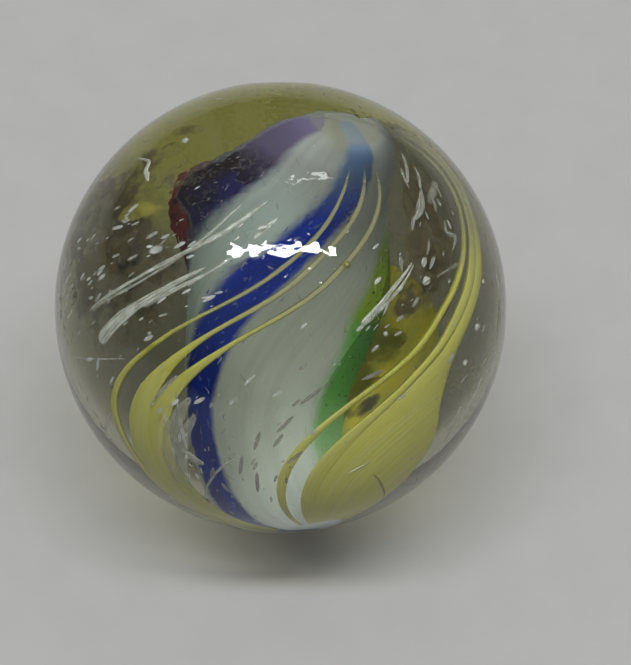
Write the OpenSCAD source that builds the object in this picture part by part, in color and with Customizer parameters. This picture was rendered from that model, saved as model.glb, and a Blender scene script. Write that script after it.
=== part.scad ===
// Handmade glass swirl marble: a clear ball with a white core and yellow outer strands.
// The ball's middle is the origin, and +Z is up. The swirl's axis leans back towards +Y,
// and bends as it rises, because the hot cane was pulled over while its ends were rounded.
// A place in the swirl is given by its height along the axis from the middle of the ball,
// its distance from the axis, and its angle about it. The angle is 0 at the front (-Y)
// and grows towards +X.

/* [Ball] */
// Diameter of the ball
ball_d = 19; // [14:0.5:26]
// Depth of the worn flat at the top of the leaning axis
flat_depth = 0.15; // [0.05:0.05:0.4]
// Clear glass over the swirl's poles, where its layers would meet
pole_cover = 0.25; // [0.2:0.05:1]
// Distance from each pole at which the coloured glass was cut off
end_cut = 0.2; // [0.1:0.05:1.2]

/* [Swirl axis] */
// How far the axis leans back from upright, in degrees
lean_deg = 50; // [0:5:90]
// How far the middle of the axis tips to the right, in degrees
side_tip_deg = 5; // [-15:0.5:15]
// How much more each end tips to its side, in degrees
side_bend_deg = 15; // [0:1:25]
// How far the middle of the axis tips forward, in degrees
front_tip_deg = 12.5; // [-15:0.5:20]
// How much more each end tips forward or back, in degrees
front_bend_deg = 20; // [0:0.5:30]

/* [Twist] */
// Turn of the outer strands for each millimetre of height, in degrees
strand_twist_deg = 6.1; // [0:0.1:12]
// Whole turn of the core, in degrees
core_turn_deg = 104; // [0:2:180]
// Height where the core begins to turn
core_turn_from = -4; // [-6:0.1:-2]
// Height where the core has made its whole turn
core_turn_to = 6.7; // [2:0.1:7]

/* [White core] */
// Distance from the axis to the core's face under the blue stripe
core_r = 2.6; // [1.8:0.1:3.4]
// Distance from the axis to the core's green edge, where it stands out in full
green_edge_r = 3.35; // [2.8:0.05:4]
// Height at which the green edge begins to stand out, on its way down
green_edge_from = 4; // [1:0.5:7]
// Height at which the green edge stands out in full
green_edge_to = 0.5; // [-5:0.5:0.5]
// Distance from the axis to the core's red edge, where it stands out most
red_edge_r = 3.75; // [2.8:0.05:4.2]
// Height where the red edge stands out most
red_edge_h = 2.9; // [0:0.1:5]
// Height over which the red edge dies away above and below
red_edge_reach = 2.2; // [1:0.1:5]
// Distance from the axis to the middle of the core's hollow back
core_back_r = 1.2; // [0.8:0.1:1.8]

/* [Coloured stripes] */
// Thickness of the blue and violet stripes
stripe_t = 0.35; // [0.2:0.05:0.6]
// Depth of the red and green edges
edge_t = 0.9; // [0.5:0.05:1.2]
// Width of the blue stripe
blue_w = 1.45; // [0.8:0.05:2.2]
// Width of the violet stripe beside the red edge
violet_w = 0.2; // [0.15:0.05:1.2]
// Width of the red edge
red_w = 2.3; // [0.8:0.05:2.4]
// Width of the red edge's upper end, where violet takes its place
red_tip_w = 0.2; // [0.15:0.05:0.4]
// Height at which the red edge's upper end begins
red_top = 4; // [0:0.2:6]
// Height over which the red edge comes to its full width
red_fade = 2; // [0.4:0.2:4]
// Width of the green edge
green_w = 1.2; // [0.5:0.05:1.4]
// How far the green edge's outer face falls away towards its back
green_round = 0.2; // [0:0.05:0.5]
// Width of white between the blue stripe and the green edge
white_right_w = 3.7; // [3:0.1:4]
// Width of white between the blue stripe and the violet stripe
white_left_w = 3; // [2:0.1:3.2]

/* [Outer strands] */
// Depth of the strands' middle below the ball's surface
strand_depth = 1.15; // [0.6:0.05:3]
// Thickness of the strands
strand_t = 0.3; // [0.15:0.05:0.6]
// A strand's angles and widths are given at seven heights, evenly spaced from its lower
// end to its upper one. Its width is the one that it would have where the ball is widest.
// Angles of the three left strands, in degrees
left_1_deg = [-20, -25.4, -34.2, -30.9, -28.3, -31.7, -37]; // [-60:0.1:0]
left_2_deg = [-14, -20.4, -23.2, -21.8, -20.7, -24.4, -24.5]; // [-60:0.1:0]
left_3_deg = [-5.2, -11.5, -15.3, -13.6, -12.6, -15.3, -14]; // [-60:0.1:0]
// Widths of the three left strands
left_1_w = [0.3, 0.3, 0.3, 0.22, 0.22, 0.22, 0.22]; // [0.15:0.01:0.4]
left_2_w = [0.9, 0.9, 0.93, 0.34, 0.28, 0.28, 0.3]; // [0.15:0.01:0.95]
left_3_w = [1.3, 1.45, 0.85, 0.32, 0.28, 0.28, 0.3]; // [0.15:0.01:1.5]
// Angles of the three right strands
right_1_deg = [36, 35.8, 36.7, 36.7, 33.3, 36.7, 50]; // [20:0.1:120]
right_2_deg = [48.5, 48.3, 47.8, 44.9, 41.4, 43.2, 61.5]; // [20:0.1:120]
right_3_deg = [80, 71.5, 59.3, 50.3, 46.3, 48, 68]; // [20:0.1:120]
// Widths of the three right strands
right_1_w = [0.6, 0.6, 0.4, 0.38, 0.36, 0.36, 0.36]; // [0.15:0.01:0.7]
right_2_w = [0.35, 0.35, 0.33, 0.45, 0.6, 0.55, 0.5]; // [0.15:0.01:0.65]
right_3_w = [8.1, 6, 2.7, 0.9, 0.62, 0.6, 0.6]; // [0.15:0.01:8.2]
// Angles of the three back strands
back_1_deg = [178, 176, 174, 174, 174, 175, 176]; // [150:0.1:230]
back_2_deg = [187, 186, 184.3, 184.3, 184.5, 185, 186]; // [150:0.1:230]
back_3_deg = [197, 196, 194.4, 194.3, 194.5, 196, 198]; // [150:0.1:230]
// Widths of the three back strands
back_1_w = [0.5, 0.8, 0.98, 0.98, 0.9, 0.7, 0.6]; // [0.15:0.01:1]
back_2_w = [0.8, 1.2, 1.6, 1.66, 1.5, 1.2, 0.9]; // [0.15:0.01:1.7]
back_3_w = [0.5, 0.8, 1.05, 1.08, 1, 0.8, 0.6]; // [0.15:0.01:1.1]

/* [Hidden] */

ball_r = ball_d / 2;
// Heights of the poles and of the cut ends above and below the middle
pole_h = ball_r - pole_cover;
end_h = pole_h - end_cut;
rings = 30;
// Angle at which the blue stripe would lie at the middle height with no core turn
blue_at_deg = -70;
// Slant of a stripe's side walls, in degrees
wall_slant_deg = 3;
// The core narrows to its ends as a rounded bar, and the strands as the ball itself
core_power = 4;
green_power = 2;
red_power = 5;
strand_power = 2;

function smooth(u) = let (v = min(max(u, 0), 1)) v * v * (3 - 2 * v);
function degrees_of(w, r) = w / r * 180 / PI;
function tip_front(p, a) = [p.x, p.y * cos(a) - p.z * sin(a), p.y * sin(a) + p.z * cos(a)];
function tip_side(p, a) = [p.x * cos(a) + p.z * sin(a), p.y, p.z * cos(a) - p.x * sin(a)];

// A point of the swirl at height h, set on the bent axis and leaned back with it
function on_axis(p, h) =
    let (
        s = h / ball_r,
        forward = tip_front(p, front_tip_deg + front_bend_deg * s),
        aside = tip_side(forward, side_tip_deg + side_bend_deg * s)
    )
    tip_front(aside, -lean_deg);

// How much of its full width the swirl keeps at height h
function narrowing(h, power) = pow(1 - pow(abs(h) / pole_h, power), 1 / power);

// Heights of the rings, closer together towards both ends
end_angle = asin(end_h / pole_h);
HEIGHTS = [for (i = [0:rings - 1]) pole_h * sin(end_angle * (2 * i / (rings - 1) - 1))];

function core_turned(h) = core_turn_deg * smooth((h - core_turn_from) / (core_turn_to - core_turn_from));

// Corners of a section [[angle, radius], ...] at height h, as points of the model
function ring(section, h, turned, power) =
    let (k = narrowing(h, power))
    [for (q = section) on_axis([k * q[1] * sin(q[0] + turned), -k * q[1] * cos(q[0] + turned), h], h)];

// Two triangles for each side of each ring. The diagonal always starts at the corner of
// smaller angle, or of smaller radius where the angles agree, so that two pieces that
// share a face split it alike.
function key(q) = q[0] * 1000 + q[1];
function side_faces(section) =
    let (n = len(section))
    [
        for (i = [0:rings - 2], j = [0:n - 1])
            let (k = (j + 1) % n, a = i * n + j, b = i * n + k, c = b + n, d = a + n)
                each key(section[j]) < key(section[k]) ? [[a, c, b], [a, d, c]] : [[a, d, b], [b, d, c]]
    ];

// A bar whose section is seen whole from the axis, closed by fans about the axis.
// sections holds one section for each height.
module round_bar(sections) {
    n = len(sections[0]);
    last = (rings - 1) * n;
    points = concat(
        [for (i = [0:rings - 1]) each ring(sections[i], HEIGHTS[i], CORE_TURNS[i], core_power)],
        [on_axis([0, 0, -end_h], -end_h), on_axis([0, 0, end_h], end_h)]
    );
    caps = [
        for (j = [0:n - 1])
            let (k = (j + 1) % n)
                each [[rings * n, j, k], [rings * n + 1, last + k, last + j]]
    ];
    polyhedron(points = points, faces = concat(side_faces(sections[0]), caps), convexity = 6);
}

// A ribbon whose section lists its outer corners, then its inner ones back again.
// turns holds the section's turn at each height.
module ribbon(sections, turns, power) {
    n = len(sections[0]);
    last = (rings - 1) * n;
    points = [for (i = [0:rings - 1]) each ring(sections[i], HEIGHTS[i], turns[i], power)];
    caps = [
        for (j = [0:n / 2 - 2])
            let (k = j + 1, p = n - 1 - j, q = n - 1 - k)
                each [[j, k, q], [j, q, p], [last + j, last + q, last + k], [last + j, last + p, last + q]]
    ];
    polyhedron(points = points, faces = concat(side_faces(sections[0]), caps), convexity = 6);
}

// The core's section, with angles counted from the middle of the blue stripe
blue_half = degrees_of(blue_w, core_r) / 2;
green_from = blue_half + degrees_of(white_right_w, (core_r + green_edge_r) / 2);
green_to = green_from + degrees_of(green_w, green_edge_r);
violet_to = -blue_half - degrees_of(white_left_w, (core_r + red_edge_r) / 2);
red_from = violet_to - degrees_of(violet_w + red_w, red_edge_r);
// The hollow back runs from the green edge round to the red one
back_from = green_to + wall_slant_deg;
back_to = red_from - wall_slant_deg + 360;

// The red edge gives way to the violet stripe as it rises
function violet_from(h) =
    let (share = smooth((red_top - h) / red_fade))
    red_from + degrees_of(red_tip_w + (red_w - red_tip_w) * share, red_edge_r);

// How far the face stands out at its red side, at its green side, and at any angle
function red_rise(h) = (red_edge_r - core_r) * exp(-pow((h - red_edge_h) / red_edge_reach, 2));
function red_out_by(a, h) = red_rise(h) * min(pow(2 * a / (violet_to + red_from), red_power), 1);
function green_rise(h) =
    (green_edge_r - core_r) * smooth((h - green_edge_from) / (green_edge_to - green_edge_from));
function green_out_by(a, h) =
    green_rise(h) * min(pow(a / green_from, green_power), 1)
    - green_round * max((a - green_from) / (green_to - green_from), 0);
function face_r(a, h) = core_r + (a < 0 ? red_out_by(a, h) : green_out_by(a, h));

// Points of the face at height h, or at depth t below it
function steps(from, to, n) = [for (i = [0:n]) from + (to - from) * i / n];
function on_face(angles, h, t = 0) = [for (a = angles) [blue_at_deg + a, face_r(a, h) - t]];

// Outer and inner corners of each stripe, and of the white between, from left to right
function red_out(h) = on_face(steps(red_from, violet_from(h), 2), h);
function red_in(h) = on_face(steps(red_from, violet_from(h), 2) - wall_slant_deg * [1, 1, 1], h, edge_t);
function violet_out(h) = on_face(steps(violet_from(h), violet_to, 4), h);
function violet_in(h) =
    let (slant = (violet_to - violet_from(h)) / 5)
    on_face(steps(violet_from(h) + slant, violet_to - slant, 4), h, stripe_t);
function white_left(h) = on_face(steps(violet_to, -blue_half, 5), h);
function blue_out(h) = on_face(steps(-blue_half, blue_half, 4), h);
function blue_in(h) =
    on_face(steps(-blue_half + wall_slant_deg, blue_half - wall_slant_deg, 4), h, stripe_t);
function white_right(h) = on_face(steps(blue_half, green_from, 6), h);
function green_out(h) = on_face(steps(green_from, green_to, 2), h);
function green_in(h) = on_face(steps(green_from + wall_slant_deg, back_from, 2), h, edge_t);
// Corners of the hollow back between those two edges
function hollow_back(h) =
    let (n = 8, green_end = green_in(h)[2][1], red_end = red_in(h)[0][1])
    [
        for (i = [1:n - 1])
            let (
                angle = back_from + (back_to - back_from) * i / n,
                end_r = green_end + (red_end - green_end) * i / n,
                dip = pow(sin(180 * i / n), 2)
            )
                [blue_at_deg + angle, end_r + (core_back_r - end_r) * dip]
    ];

function without_ends(list) = [for (i = [1:len(list) - 2]) list[i]];
function reversed(list) = [for (i = [len(list) - 1:-1:0]) list[i]];

// The white core's own section: its channels for the stripes, and its hollow back
function white_section(h) = concat(
    red_in(h), [violet_out(h)[0]], violet_in(h), white_left(h), blue_in(h),
    white_right(h), green_in(h), hollow_back(h)
);
// The whole core's section, with its stripes in place
function core_section(h) = concat(
    [red_in(h)[0]], red_out(h), without_ends(violet_out(h)), white_left(h),
    without_ends(blue_out(h)), white_right(h), without_ends(green_out(h)),
    [green_out(h)[2], green_in(h)[2]], hollow_back(h)
);

CORE_TURNS = [for (h = HEIGHTS) core_turned(h)];
// The piece between an outer and an inner face of the core, each listed for every height
module stripe(outsides, insides) {
    ribbon(
        [for (i = [0:rings - 1]) concat(outsides[i], reversed(insides[i]))],
        CORE_TURNS,
        core_power
    );
}

// The value at height h of a list given at evenly spaced heights, along a smooth curve
// through the values before, at and after it
function listed(values, h) =
    let (
        last = len(values) - 1,
        place = min(max((h / end_h + 1) / 2 * last, 0), last),
        i = min(floor(place), last - 1),
        u = place - i,
        a = values[max(i - 1, 0)],
        b = values[i],
        c = values[i + 1],
        d = values[min(i + 2, last)]
    )
    b + u / 2 * (c - a + u * (2 * a - 5 * b + 4 * c - d + u * (3 * (b - c) + d - a)));

// An outer strand: a thin lens in section, which shifts and widens along its way
COLUMNS = [-0.5, -0.2, 0.2, 0.5];
strand_r = ball_r - strand_depth;
STRAND_TURNS = [for (h = HEIGHTS) strand_twist_deg * h];
function lens_half(c) = strand_t / 2 * (0.3 + 0.7 * sqrt(1 - 4 * c * c));
function strand_section(middle, width) =
    let (turn = degrees_of(width, strand_r))
    concat(
        [for (c = COLUMNS) [middle + turn * c, strand_r + lens_half(c)]],
        [for (c = reversed(COLUMNS)) [middle + turn * c, strand_r - lens_half(c)]]
    );
module strand(angles, widths) {
    sections = [for (h = HEIGHTS) strand_section(listed(angles, h), listed(widths, h))];
    ribbon(sections, STRAND_TURNS, strand_power);
}

module white_core() { color([0.88, 0.9, 0.88]) round_bar([for (h = HEIGHTS) white_section(h)]); }
module blue_stripe() {
    color([0.05, 0.13, 0.45])
        stripe([for (h = HEIGHTS) blue_out(h)], [for (h = HEIGHTS) blue_in(h)]);
}
module violet_stripe() {
    color([0.25, 0.2, 0.42])
        stripe([for (h = HEIGHTS) violet_out(h)], [for (h = HEIGHTS) violet_in(h)]);
}
module red_edge() {
    color([0.5, 0.1, 0.07])
        stripe([for (h = HEIGHTS) red_out(h)], [for (h = HEIGHTS) red_in(h)]);
}
module green_edge() {
    color([0.25, 0.5, 0.15])
        stripe([for (h = HEIGHTS) green_out(h)], [for (h = HEIGHTS) green_in(h)]);
}
module left_strands() {
    color([0.85, 0.83, 0.4]) {
        strand(left_1_deg, left_1_w);
        strand(left_2_deg, left_2_w);
        strand(left_3_deg, left_3_w);
    }
}
module right_strands() {
    color([0.85, 0.83, 0.4]) {
        strand(right_1_deg, right_1_w);
        strand(right_2_deg, right_2_w);
        strand(right_3_deg, right_3_w);
    }
}
module back_strands() {
    color([0.85, 0.83, 0.4]) {
        strand(back_1_deg, back_1_w);
        strand(back_2_deg, back_2_w);
        strand(back_3_deg, back_3_w);
    }
}

// The clear glass, with room in it for every coloured piece, and its worn flat
module clear_glass() {
    color([0.8, 0.85, 0.75, 0.3])
        difference() {
            sphere(r = ball_r, $fn = 96);
            round_bar([for (h = HEIGHTS) core_section(h)]);
            left_strands();
            right_strands();
            back_strands();
            rotate([-lean_deg, 0, 0])
                translate([-ball_r, -ball_r, ball_r - flat_depth])
                    cube([ball_d, ball_d, ball_r]);
        }
}

clear_glass();
white_core();
blue_stripe();
violet_stripe();
red_edge();
green_edge();
left_strands();
right_strands();
back_strands();
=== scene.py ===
"""Glass swirl marble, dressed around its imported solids.

Lengths inside the functions are millimetres and angles are degrees, and meshes are written in
metres. The swirl has an axis that leans back and bends. A place in it is an angle about the
axis (0 at the front, growing to the right), a distance from the axis and a height along it.
"""

import math
from types import SimpleNamespace

import bpy
import numpy as np
from bpy.props import FloatProperty, FloatVectorProperty, IntProperty, PointerProperty
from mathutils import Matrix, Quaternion, Vector


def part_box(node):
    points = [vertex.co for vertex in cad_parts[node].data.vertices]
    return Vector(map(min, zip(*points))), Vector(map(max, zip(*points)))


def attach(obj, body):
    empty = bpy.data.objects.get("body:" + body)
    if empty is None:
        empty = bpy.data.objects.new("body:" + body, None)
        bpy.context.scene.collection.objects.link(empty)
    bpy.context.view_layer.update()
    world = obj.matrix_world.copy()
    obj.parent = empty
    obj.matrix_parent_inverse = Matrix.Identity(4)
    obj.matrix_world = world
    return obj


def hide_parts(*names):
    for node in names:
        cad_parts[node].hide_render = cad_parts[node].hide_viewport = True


bl_info = {
    "name": "Glass swirl marble",
    "version": (1, 0, 0),
    "blender": (4, 5, 0),
    "location": "View3D > Sidebar > Marble",
    "description": "Makes the pieces of a handmade glass swirl marble and its stage",
    "category": "Object",
}

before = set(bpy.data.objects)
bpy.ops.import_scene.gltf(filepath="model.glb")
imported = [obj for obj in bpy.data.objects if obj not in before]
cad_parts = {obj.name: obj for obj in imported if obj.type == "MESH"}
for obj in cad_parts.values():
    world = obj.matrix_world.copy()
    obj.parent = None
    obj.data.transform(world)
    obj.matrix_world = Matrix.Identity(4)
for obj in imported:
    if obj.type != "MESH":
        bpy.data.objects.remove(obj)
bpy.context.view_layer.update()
LOW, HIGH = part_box("clear_glass")
MM = 0.001

# How much narrower the ball is than its solid, in mm, so that it stays within the solid's box
HAIR = 0.004


# ---------------------------------------------------------------- settings

def length(name, description, mm):
    """A length property, given in mm and held in metres."""
    return FloatProperty(
        name=name, description=description, default=mm * MM, unit="LENGTH", precision=6,
    )


def angle(name, description, degrees):
    """An angle property, given in degrees and held in radians."""
    return FloatProperty(
        name=name, description=description, default=math.radians(degrees), subtype="ANGLE",
    )


def colour(name, description, *rgb):
    """A colour property, given as shares of red, green and blue."""
    return FloatVectorProperty(
        name=name, description=description, subtype="COLOR", size=3, default=rgb, min=0, max=1,
    )


def number(name, description, value):
    """A property for a plain number, never below 0."""
    return FloatProperty(name=name, description=description, default=value, min=0)


def dots(name, description, count):
    """A property for a whole number of picture dots."""
    return IntProperty(name=name, description=description, default=count, min=1)


class BallSizes(bpy.types.PropertyGroup):
    """Sizes of the ball, the swirl's axis and the outer strands."""

    ball_d: length("Ball diameter", "Diameter of the ball", (HIGH.x - LOW.x) / MM - HAIR)
    flat_depth: length("Worn flat", "Depth of the worn flat at the top of the leaning axis", 0.15)
    pole_cover: length("Pole cover", "Clear glass over the swirl's poles", 0.25)
    end_cut: length("End cut", "Distance from each pole at which the coloured glass ends", 0.2)
    lean: angle("Lean", "How far the axis leans back from upright", 50)
    side_tip: angle("Side tip", "How far the middle of the axis tips to the right", 5)
    side_bend: angle("Side bend", "How much more each end tips to its side", 15)
    front_tip: angle("Front tip", "How far the middle of the axis tips forward", 12.5)
    front_bend: angle("Front bend", "How much more each end tips forward or back", 20)
    strand_twist: angle("Strand twist", "Turn of the outer strands for each mm of height", 6.1)
    strand_depth: length("Strand depth", "Depth of the strands' middle below the surface", 1.15)
    strand_t: length("Strand thickness", "Thickness of the strands", 0.3)


class CoreSizes(bpy.types.PropertyGroup):
    """Sizes of the core and its coloured stripes."""

    turn: angle("Turn", "Whole turn of the core", 104)
    turn_from: length("Turn from", "Height where the core begins to turn", -4)
    turn_to: length("Turn to", "Height where the core has made its whole turn", 6.7)
    face_r: length("Face", "Distance from the axis to the face under the blue stripe", 2.6)
    green_edge_r: length("Green edge", "Distance from the axis to the green edge in full", 3.35)
    green_edge_from: length("Green edge from", "Height where it begins to stand out", 4)
    green_edge_to: length("Green edge to", "Height where it stands out in full", 0.5)
    red_edge_r: length("Red edge", "Distance from the axis to the red edge at its most", 3.75)
    red_edge_h: length("Red edge height", "Height where the red edge stands out most", 2.9)
    red_edge_reach: length("Red edge reach", "Height over which the red edge dies away", 2.2)
    back_r: length("Hollow back", "Distance from the axis to the middle of the back", 1.2)
    stripe_t: length("Stripe thickness", "Thickness of the blue and violet stripes", 0.35)
    edge_t: length("Edge depth", "Depth of the red and green edges", 0.9)
    blue_w: length("Blue width", "Width of the blue stripe", 1.45)
    violet_w: length("Violet width", "Width of the violet stripe beside the red edge", 0.2)
    red_w: length("Red width", "Width of the red edge", 2.3)
    red_tip_w: length("Red tip width", "Width of the red edge's upper end", 0.2)
    red_top: length("Red top", "Height at which the red edge's upper end begins", 4)
    red_fade: length("Red fade", "Height over which the red edge comes to its width", 2)
    green_w: length("Green width", "Width of the green edge", 1.2)
    green_round: length("Green round", "How far the green edge falls away at its back", 0.2)
    white_right_w: length("Right white", "White between the blue stripe and the green edge", 3.7)
    white_left_w: length("Left white", "White between the blue and the violet stripes", 3)


class MarbleColours(bpy.types.PropertyGroup):
    """Main colours of the glasses."""

    white: colour("White", "The core's lower part", 0.69, 0.79, 0.84)
    milky: colour("Milky", "The core's middle and upper part", 0.42, 0.47, 0.48)
    blue: colour("Blue", "The front stripe", 0.001, 0.034, 0.50)
    violet: colour("Violet", "The upper left stripe", 0.014, 0.014, 0.15)
    red: colour("Red", "The left edge", 0.26, 0.025, 0.015)
    green: colour("Green", "The right edge's upper part", 0.25, 0.40, 0.02)
    low_green: colour("Low green", "The right edge's lower part", 0.13, 0.42, 0.10)
    yellow: colour("Yellow", "The outer strands", 0.46, 0.46, 0.095)
    amber: colour("Amber", "The fin beside the green edge", 0.62, 0.57, 0.06)
    # Painted reflection: air in glass looks silver only by the light it reflects, and this colour
    # stands for it
    silver: colour("Silver", "Threads and flecks of air in the clear glass", 0.72, 0.78, 0.78)
    brown: colour("Brown", "Dark marks in the clear glass", 0.085, 0.072, 0.032)
    tint: colour("Glass tint", "What the clear glass lets through", 0.44, 0.44, 0.25)
    tint_density: number("Tint density", "How fast the clear glass darkens, for each metre", 100)
    lamp_through: colour("Lamp light", "What the surface lets a lamp's light through", 0.85, 0.85, 0.80)


class StageSettings(bpy.types.PropertyGroup):
    """Floor, lamps and camera."""

    floor: colour("Floor", "Colour of the floor", 0.445, 0.445, 0.44)
    room_low: number("Room light low", "Strength of the room's light at the horizon", 0.09)
    room_high: number("Room light high", "Strength of the room's light overhead", 0.38)
    strip: number("Strip lamp", "Power of the strip lamp in watts", 1.3)
    thin: number("Thin lamp", "Power of the thin lamp in watts", 0.05)
    distance: length("Camera distance", "From the ball's centre to the camera", 120)
    elevation: angle("Camera elevation", "Angle of the view above the floor", 50)
    ball_px: number("Ball in view", "Half the ball's width in picture dots", 226)
    centre_x: number("Centre across", "The ball's centre in dots from the left", 280.5)
    centre_y: number("Centre down", "The ball's centre in dots from the top", 307)
    picture_w: dots("Picture width", "Width of the picture in dots", 631)
    picture_h: dots("Picture height", "Height of the picture in dots", 665)


def in_mm(group):
    """A group's sizes as plain numbers, its lengths in mm and its angles in degrees."""
    sizes = SimpleNamespace()
    for key in group.__annotations__:
        unit = group.bl_rna.properties[key].unit
        factor = {"LENGTH": 1 / MM, "ROTATION": 180 / math.pi}.get(unit, 1)
        setattr(sizes, key, getattr(group, key) * factor)
    return sizes


# ---------------------------------------------------------------- the swirl's own space

# The core narrows to its ends as a rounded bar, and the strands as the ball itself
CORE_POWER = 4
STRAND_POWER = 2

# The most that a height may be of the pole's height, so that the swirl never narrows to nothing
NEAR_POLE = 0.9999


def smooth(u):
    """Rises from 0 to 1 as u does, level at both ends: u squared times (3 - 2 u)."""
    v = np.clip(u, 0, 1)
    return v * v * (3 - 2 * v)


def degrees_of(width, radius):
    """The angle that a width takes up at a distance from the axis."""
    return np.degrees(width / radius)


def unit(v):
    """Vectors cut to a length of 1."""
    return v / np.linalg.norm(v, axis=-1, keepdims=True)


def tip_front(p, degrees):
    """Turns points about X, each by its own angle."""
    a = np.radians(degrees)
    x, y, z = p[..., 0], p[..., 1], p[..., 2]
    return np.stack([x, y * np.cos(a) - z * np.sin(a), y * np.sin(a) + z * np.cos(a)], -1)


def tip_side(p, degrees):
    """Turns points about Y, each by its own angle."""
    a = np.radians(degrees)
    x, y, z = p[..., 0], p[..., 1], p[..., 2]
    return np.stack([x * np.cos(a) + z * np.sin(a), y, z * np.cos(a) - x * np.sin(a)], -1)


def narrowing(s, h, power):
    """How much of its full width the swirl keeps at height h: one less the height's share of the
    pole's height, raised to a power, and the root of what is left."""
    share = np.minimum(np.abs(h) / (s.ball_d / 2 - s.pole_cover), NEAR_POLE)
    return (1 - share ** power) ** (1 / power)


def swirl(s, degrees, radius, h, power):
    """Points of the swirl: a ring point at its height, narrowed to the poles, tipped forward and
    aside by more the higher it is, then leaned back."""
    a, radius, h = np.broadcast_arrays(np.radians(degrees), radius, h)
    k = radius * narrowing(s, h, power)
    p = np.stack([k * np.sin(a), -k * np.cos(a), h], -1)
    t = h / (s.ball_d / 2)
    p = tip_front(p, s.front_tip + s.front_bend * t)
    p = tip_side(p, s.side_tip + s.side_bend * t)
    return tip_front(p, -s.lean)


def strand_place(s, degrees, radius, h):
    """Points of the outer layer, which turns with the strands."""
    return swirl(s, degrees + s.strand_twist * h, radius, h, STRAND_POWER)


def ring_heights(s, rings):
    """Heights from end to end, closer together towards both ends as a sine's values are."""
    pole = s.ball_d / 2 - s.pole_cover
    top = math.asin((pole - s.end_cut) / pole)
    return pole * np.sin(top * np.linspace(-1, 1, rings))


def listed(values, t):
    """Values at places t from ones given at even steps from -1 to 1, along the smooth cubic
    through the values before, at and after each place."""
    v = np.asarray(values, float)
    last = v.shape[-1] - 1
    place = np.clip((t + 1) / 2 * last, 0, last)
    i = np.minimum(np.floor(place).astype(int), last - 1)
    u = place - i
    a, b = v[..., np.maximum(i - 1, 0)], v[..., i]
    c, d = v[..., i + 1], v[..., np.minimum(i + 2, last)]
    return b + u / 2 * (c - a + u * (2 * a - 5 * b + 4 * c - d + u * (3 * (b - c) + d - a)))


# ---------------------------------------------------------------- meshes

# An edge that bends more than this is drawn sharp
SHARP = math.radians(40)


def make_piece(name, points, faces, values=None):
    """A mesh object from points in mm, faces as rows of corner numbers, and point values by name.
    It is shaded smooth, but for its sharp edges."""
    mesh = bpy.data.meshes.new(name)
    mesh.from_pydata((np.asarray(points) * MM).tolist(), [], faces)
    for key, numbers in (values or {}).items():
        layer = mesh.attributes.new(key, "FLOAT", "POINT")
        layer.data.foreach_set("value", np.asarray(numbers, np.float32).ravel())
    mesh.polygons.foreach_set("use_smooth", np.full(len(mesh.polygons), True))
    mesh.validate()
    mesh.update()
    mesh.set_sharp_from_angle(angle=SHARP)
    piece = bpy.data.objects.new(name, mesh)
    bpy.context.scene.collection.objects.link(piece)
    return piece


def band_faces(rows, columns):
    """Quads between the rows of a stack of closed rings, outwards where the rings turn
    anticlockwise as seen from the stack's end."""
    i, j = np.meshgrid(np.arange(rows - 1), np.arange(columns), indexing="ij")
    k = (j + 1) % columns
    a, b = i * columns + j, i * columns + k
    return np.stack([a, b, b + columns, a + columns], -1).reshape(-1, 4)


def ribbon_faces(rows, columns):
    """Faces of a ribbon whose rings go out along its outer face and back along its inner one."""
    j = np.arange(columns // 2 - 1)
    low = np.stack([j, columns - 1 - j, columns - 2 - j, j + 1], -1)
    high = low[:, ::-1] + (rows - 1) * columns
    return np.concatenate([band_faces(rows, columns), low, high])


def capped_faces(rows, columns, stacks=1):
    """Faces of a stack of rings whose points are followed by one before its start and one
    beyond its end, and of as many such stacks as asked for, one after another."""
    j = np.arange(columns)
    k = (j + 1) % columns
    last = (rows - 1) * columns
    start = np.stack([np.full(columns, rows * columns), k, j], -1)
    end = np.stack([np.full(columns, rows * columns + 1), last + j, last + k], -1)
    first = (np.arange(stacks) * (rows * columns + 2))[:, None, None]
    quads = (band_faces(rows, columns) + first).reshape(-1, 4)
    triangles = (np.concatenate([start, end]) + first).reshape(-1, 3)
    return [*quads.tolist(), *triangles.tolist()]


def finish_piece(piece, slot, material, *nodes):
    """Gives a piece its material and its body, and hides the solids that it stands for. Its slot
    is not used.
    """
    piece.data.materials.append(material)
    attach(piece, "root")
    if nodes:
        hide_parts(*nodes)


def make_slivers(name, paths, widths, thicknesses, values, sides=8, thin_rim=False):
    """Slender closed slivers, one for each row of paths. At each place on its path a sliver's
    section is an ellipse, as wide as widths says and level with the ball's surface, and as
    thick as thicknesses says. Both ends close on the path's own ends. Each point stores its side
    and its run, how far it is across and along the path in mm. With thin_rim it also stores its
    rim, its share of the way from the sliver's middle to its outline."""
    count, places = paths.shape[:2]
    out = unit(paths)
    across = unit(np.cross(np.gradient(paths, axis=1), out))
    t = np.linspace(0, 2 * np.pi, sides, endpoint=False)[:, None]
    rings = (
        paths[:, :, None]
        + widths[..., None, None] / 2 * np.cos(t) * across[:, :, None]
        - thicknesses[..., None, None] / 2 * np.sin(t) * out[:, :, None]
    )
    inside = rings[:, 1:-1].reshape(count, -1, 3)
    points = np.concatenate([inside, paths[:, :1], paths[:, -1:]], 1)
    each = points.shape[1]
    numbers = {key: np.repeat(v, each) for key, v in values.items()}
    share = widths[:, 1:-1] / widths.max(1, keepdims=True)
    rim = np.sqrt(1 - (share[..., None] * np.sin(t[:, 0])) ** 2).reshape(count, -1)
    rim = np.concatenate([rim, np.ones((count, 2))], 1)
    numbers["rim"] = rim.ravel() * thin_rim
    side = widths[:, 1:-1, None] / 2 * np.cos(t[:, 0])
    numbers["side"] = np.concatenate([side.reshape(count, -1), np.zeros((count, 2))], 1).ravel()
    run = np.linalg.norm(np.diff(paths, axis=1), axis=2).cumsum(1)
    run = np.broadcast_to(run[:, :-1, None], side.shape).reshape(count, -1)
    numbers["run"] = np.concatenate([run, np.zeros((count, 1)), run[:, -1:]], 1).ravel()
    faces = capped_faces(places - 2, sides, count)
    return make_piece(name, points.reshape(-1, 3), faces, numbers)


# ---------------------------------------------------------------- the core's section

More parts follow.
